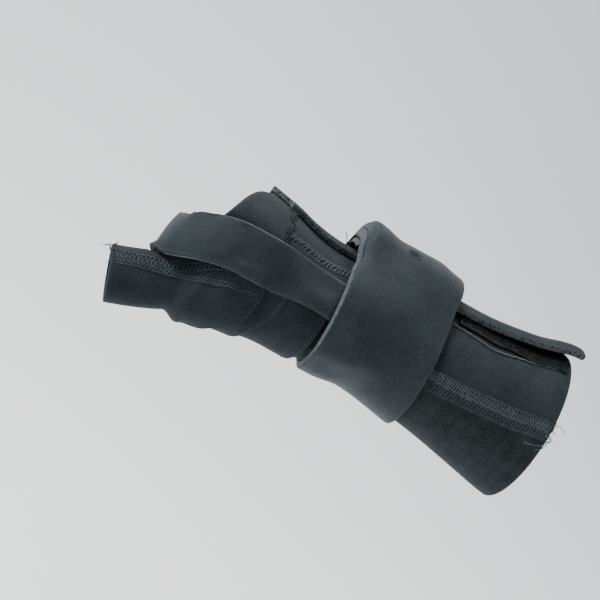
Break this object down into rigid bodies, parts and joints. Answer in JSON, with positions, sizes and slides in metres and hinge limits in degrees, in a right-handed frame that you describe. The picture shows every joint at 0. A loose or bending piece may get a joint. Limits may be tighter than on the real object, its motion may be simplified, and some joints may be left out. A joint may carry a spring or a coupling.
{
  "type": "thumb spica splint",
  "caption": "Fabric thumb spica splint for the right hand: a wrap-closed wrist sleeve with a thumb tube, layered thumb wrap, narrow web strap and wide wrist strap.",
  "frame": {"origin": "middle of the wrist inside the sleeve, under the wide strap, where the limb's axis crosses the wrist", "axes": "+X along the forearm towards the elbow, +Z towards the back of the hand, -Y towards the thumb's side"},
  "size_m": [0.2073, 0.0937, 0.0877],
  "materials": {
    "sleeve_knit": "charcoal nylon knit on neoprene, soft matt",
    "plush_knit": "brushed charcoal knit on neoprene, matt",
    "strap_knit": "fine smooth charcoal knit, slight sheen",
    "cut_edge": "cut foam rubber edge, grey, porous",
    "stitching": "textured nylon thread, dark grey",
    "hook_tape": "black hook tape, rough"
  },
  "bodies": {
    "root": {"thumb_side_panel": "sleeve_knit", "hand_panel": "sleeve_knit", "palm_panel": "plush_knit", "hook_strip": "hook_tape", "thumb_wrap": "sleeve_knit", "stay_pocket": "sleeve_knit", "thumb_sleeve": "sleeve_knit", "web_strap": "strap_knit", "wrist_strap": "strap_knit"}
  },
  "joints": []
}
